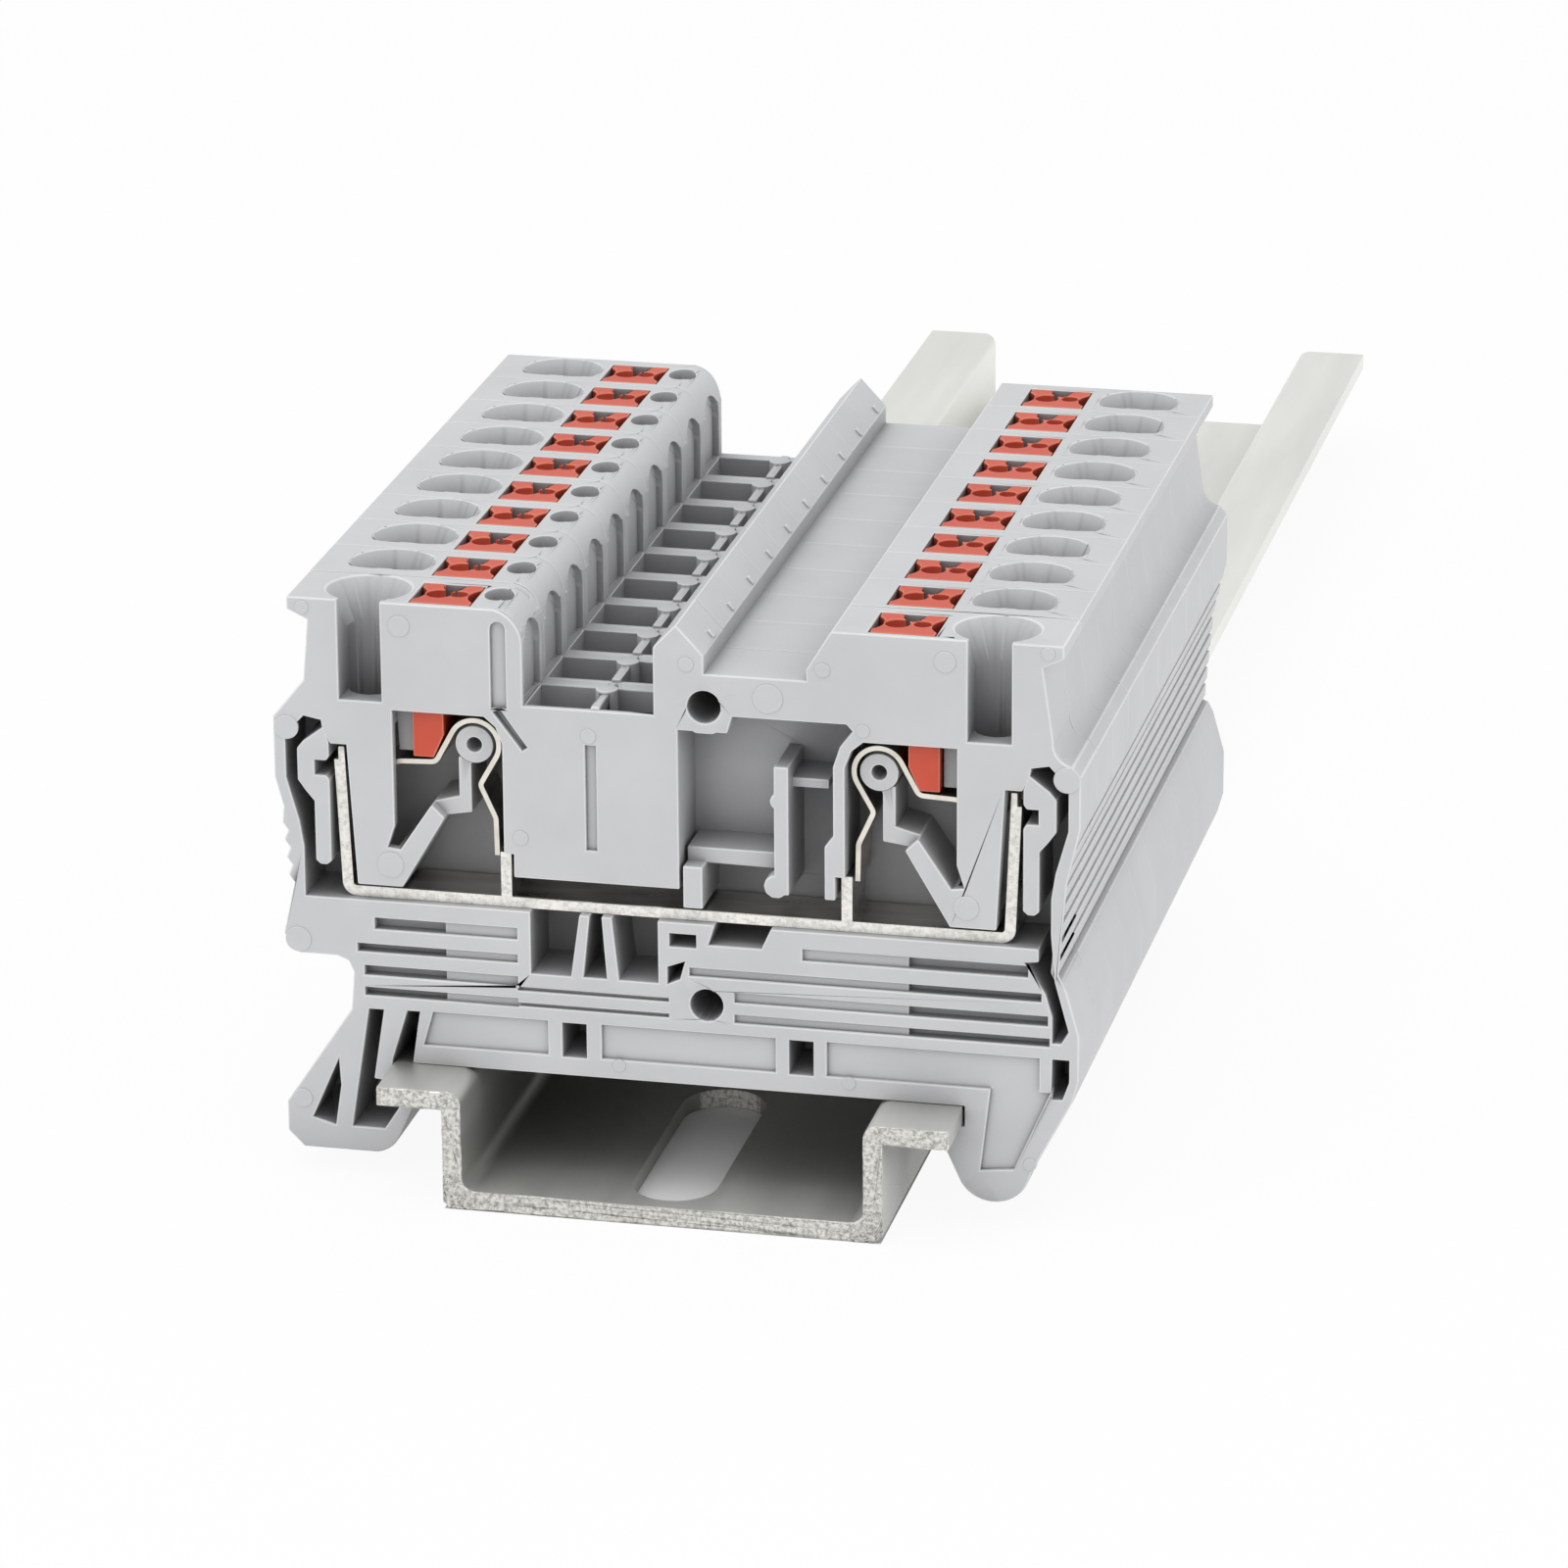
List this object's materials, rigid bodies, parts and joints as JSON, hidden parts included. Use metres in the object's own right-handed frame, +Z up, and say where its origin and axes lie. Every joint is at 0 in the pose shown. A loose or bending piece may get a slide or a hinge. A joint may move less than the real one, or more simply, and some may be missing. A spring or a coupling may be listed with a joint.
{
  "type": "push-in terminal block",
  "caption": "Row of push-in wire terminals clipped side by side on a slotted top-hat rail, with release buttons and an open end face that shows the clamp springs.",
  "frame": {"origin": "middle of the rail's underside", "axes": "+X across the rail to the side without the latch, +Y along the rail away from the open end face, +Z up out of the mounting plate"},
  "size_m": [0.049, 0.1662, 0.0367],
  "materials": {
    "housing_plastic": "fine satin, light cool grey",
    "button_plastic": "satin orange red",
    "spring_steel": "bright rolled strip",
    "tinned_copper": "tin plated copper",
    "rail_steel": "zinc plated, sawn ends"
  },
  "bodies": {
    "rail": {"mounting_rail": "rail_steel"},
    "strip": {"housing_01": "housing_plastic", "housing_02": "housing_plastic", "housing_03": "housing_plastic", "housing_04": "housing_plastic", "housing_05": "housing_plastic", "housing_06": "housing_plastic", "housing_07": "housing_plastic", "housing_08": "housing_plastic", "housing_09": "housing_plastic", "housing_10": "housing_plastic", "clamp_spring_left_01": "spring_steel", "clamp_spring_right_01": "spring_steel", "clamp_spring_left_02": "spring_steel", "clamp_spring_right_02": "spring_steel", "clamp_spring_left_03": "spring_steel", "clamp_spring_right_03": "spring_steel", "clamp_spring_left_04": "spring_steel", "clamp_spring_right_04": "spring_steel", "clamp_spring_left_05": "spring_steel", "clamp_spring_right_05": "spring_steel", "clamp_spring_left_06": "spring_steel", "clamp_spring_right_06": "spring_steel", "clamp_spring_left_07": "spring_steel", "clamp_spring_right_07": "spring_steel", "clamp_spring_left_08": "spring_steel", "clamp_spring_right_08": "spring_steel", "clamp_spring_left_09": "spring_steel", "clamp_spring_right_09": "spring_steel", "clamp_spring_left_10": "spring_steel", "clamp_spring_right_10": "spring_steel", "current_bars": "tinned_copper"},
    "press_left_01": {"button_left_01": "button_plastic"},
    "press_right_01": {"button_right_01": "button_plastic"},
    "press_left_02": {"button_left_02": "button_plastic"},
    "press_right_02": {"button_right_02": "button_plastic"},
    "press_left_03": {"button_left_03": "button_plastic"},
    "press_right_03": {"button_right_03": "button_plastic"},
    "press_left_04": {"button_left_04": "button_plastic"},
    "press_right_04": {"button_right_04": "button_plastic"},
    "press_left_05": {"button_left_05": "button_plastic"},
    "press_right_05": {"button_right_05": "button_plastic"},
    "press_left_06": {"button_left_06": "button_plastic"},
    "press_right_06": {"button_right_06": "button_plastic"},
    "press_left_07": {"button_left_07": "button_plastic"},
    "press_right_07": {"button_right_07": "button_plastic"},
    "press_left_08": {"button_left_08": "button_plastic"},
    "press_right_08": {"button_right_08": "button_plastic"},
    "press_left_09": {"button_left_09": "button_plastic"},
    "press_right_09": {"button_right_09": "button_plastic"},
    "press_left_10": {"button_left_10": "button_plastic"},
    "press_right_10": {"button_right_10": "button_plastic"}
  },
  "joints": [
    {"name": "strip_slide", "type": "slide", "parent": "rail", "child": "strip", "axis": [0, 1, 0], "range_m": [-0.0042, 0.11]},
    {"name": "press_left_01", "type": "slide", "parent": "strip", "child": "press_left_01", "axis": [0, 0, -1], "range_m": [0, 0.002], "stiffness_N_per_m": 3000, "deforming": ["clamp_spring_left_01"]},
    {"name": "press_right_01", "type": "slide", "parent": "strip", "child": "press_right_01", "axis": [0, 0, -1], "range_m": [0, 0.002], "stiffness_N_per_m": 3000, "deforming": ["clamp_spring_right_01"]},
    {"name": "press_left_02", "type": "slide", "parent": "strip", "child": "press_left_02", "axis": [0, 0, -1], "range_m": [0, 0.002], "stiffness_N_per_m": 3000, "deforming": ["clamp_spring_left_02"]},
    {"name": "press_right_02", "type": "slide", "parent": "strip", "child": "press_right_02", "axis": [0, 0, -1], "range_m": [0, 0.002], "stiffness_N_per_m": 3000, "deforming": ["clamp_spring_right_02"]},
    {"name": "press_left_03", "type": "slide", "parent": "strip", "child": "press_left_03", "axis": [0, 0, -1], "range_m": [0, 0.002], "stiffness_N_per_m": 3000, "deforming": ["clamp_spring_left_03"]},
    {"name": "press_right_03", "type": "slide", "parent": "strip", "child": "press_right_03", "axis": [0, 0, -1], "range_m": [0, 0.002], "stiffness_N_per_m": 3000, "deforming": ["clamp_spring_right_03"]},
    {"name": "press_left_04", "type": "slide", "parent": "strip", "child": "press_left_04", "axis": [0, 0, -1], "range_m": [0, 0.002], "stiffness_N_per_m": 3000, "deforming": ["clamp_spring_left_04"]},
    {"name": "press_right_04", "type": "slide", "parent": "strip", "child": "press_right_04", "axis": [0, 0, -1], "range_m": [0, 0.002], "stiffness_N_per_m": 3000, "deforming": ["clamp_spring_right_04"]},
    {"name": "press_left_05", "type": "slide", "parent": "strip", "child": "press_left_05", "axis": [0, 0, -1], "range_m": [0, 0.002], "stiffness_N_per_m": 3000, "deforming": ["clamp_spring_left_05"]},
    {"name": "press_right_05", "type": "slide", "parent": "strip", "child": "press_right_05", "axis": [0, 0, -1], "range_m": [0, 0.002], "stiffness_N_per_m": 3000, "deforming": ["clamp_spring_right_05"]},
    {"name": "press_left_06", "type": "slide", "parent": "strip", "child": "press_left_06", "axis": [0, 0, -1], "range_m": [0, 0.002], "stiffness_N_per_m": 3000, "deforming": ["clamp_spring_left_06"]},
    {"name": "press_right_06", "type": "slide", "parent": "strip", "child": "press_right_06", "axis": [0, 0, -1], "range_m": [0, 0.002], "stiffness_N_per_m": 3000, "deforming": ["clamp_spring_right_06"]},
    {"name": "press_left_07", "type": "slide", "parent": "strip", "child": "press_left_07", "axis": [0, 0, -1], "range_m": [0, 0.002], "stiffness_N_per_m": 3000, "deforming": ["clamp_spring_left_07"]},
    {"name": "press_right_07", "type": "slide", "parent": "strip", "child": "press_right_07", "axis": [0, 0, -1], "range_m": [0, 0.002], "stiffness_N_per_m": 3000, "deforming": ["clamp_spring_right_07"]},
    {"name": "press_left_08", "type": "slide", "parent": "strip", "child": "press_left_08", "axis": [0, 0, -1], "range_m": [0, 0.002], "stiffness_N_per_m": 3000, "deforming": ["clamp_spring_left_08"]},
    {"name": "press_right_08", "type": "slide", "parent": "strip", "child": "press_right_08", "axis": [0, 0, -1], "range_m": [0, 0.002], "stiffness_N_per_m": 3000, "deforming": ["clamp_spring_right_08"]},
    {"name": "press_left_09", "type": "slide", "parent": "strip", "child": "press_left_09", "axis": [0, 0, -1], "range_m": [0, 0.002], "stiffness_N_per_m": 3000, "deforming": ["clamp_spring_left_09"]},
    {"name": "press_right_09", "type": "slide", "parent": "strip", "child": "press_right_09", "axis": [0, 0, -1], "range_m": [0, 0.002], "stiffness_N_per_m": 3000, "deforming": ["clamp_spring_right_09"]},
    {"name": "press_left_10", "type": "slide", "parent": "strip", "child": "press_left_10", "axis": [0, 0, -1], "range_m": [0, 0.002], "stiffness_N_per_m": 3000, "deforming": ["clamp_spring_left_10"]},
    {"name": "press_right_10", "type": "slide", "parent": "strip", "child": "press_right_10", "axis": [0, 0, -1], "range_m": [0, 0.002], "stiffness_N_per_m": 3000, "deforming": ["clamp_spring_right_10"]}
  ]
}
